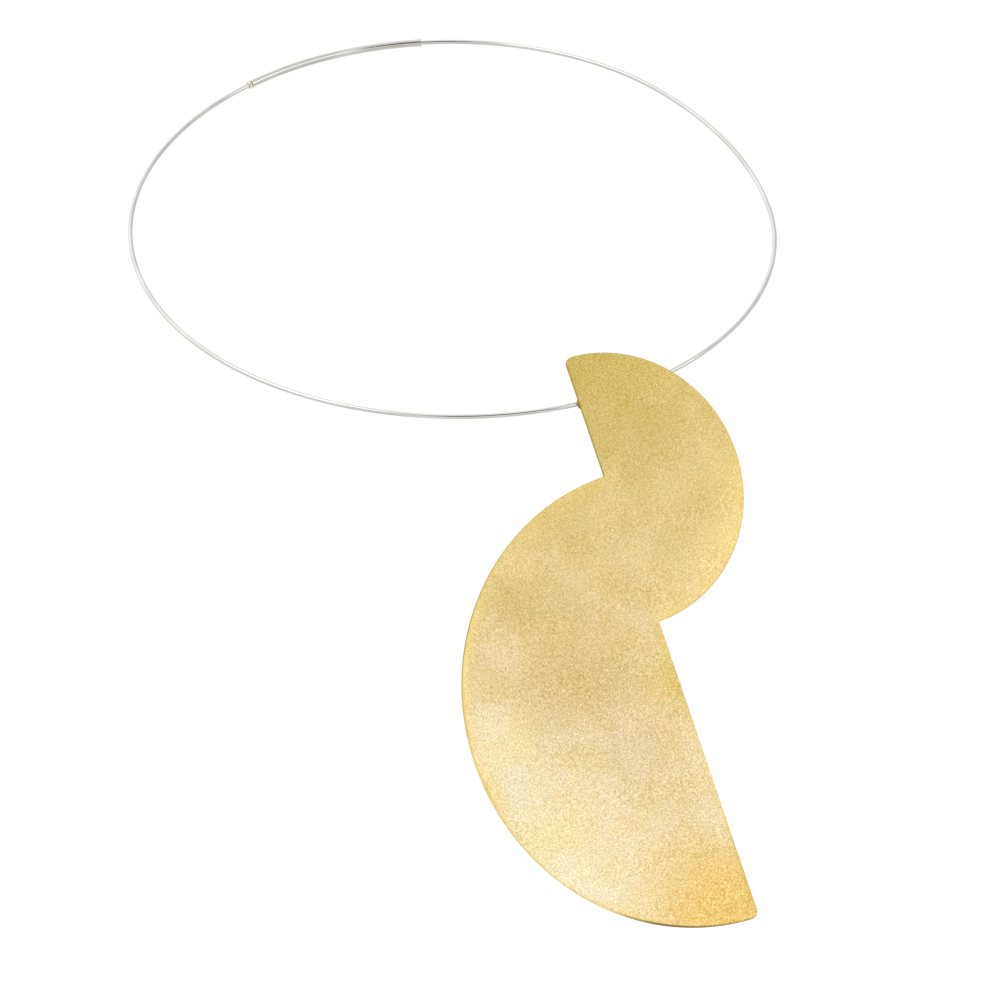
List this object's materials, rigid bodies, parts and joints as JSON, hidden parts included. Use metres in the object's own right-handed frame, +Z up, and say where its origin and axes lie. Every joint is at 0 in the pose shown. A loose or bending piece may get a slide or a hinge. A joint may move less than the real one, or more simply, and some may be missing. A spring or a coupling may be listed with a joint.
{
  "type": "pendant choker",
  "caption": "Rigid round neck wire closed by a push-in sleeve at the nape, with a flat gold pendant of offset half discs that swings on it.",
  "frame": {"origin": "the middle of the neck opening, in the plane of the neck wire", "axes": "+Z up, -Y to the front where the pendant hangs, +X to the right seen from the front; the ring slopes up to the nape by 45 degrees"},
  "size_m": [0.1421, 0.1088, 0.2232],
  "materials": {
    "wire_silver": "polished, silver coloured steel wire",
    "sleeve_silver": "polished tube, lightly drawn",
    "bead_gold": "polished gold",
    "pendant_gold": "matt gold with a fine grain, brighter along the edges"
  },
  "bodies": {
    "ring": {"neck_wire": "wire_silver", "clasp_sleeve": "sleeve_silver", "clasp_bead": "bead_gold"},
    "drop": {"pendant": "pendant_gold"}
  },
  "joints": [
    {"name": "pendant_swing", "type": "hinge", "parent": "ring", "child": "drop", "pos_m": [0, -0.05287, -0.05287], "axis": [1, 0, 0], "range_deg": [-45, 130]}
  ]
}
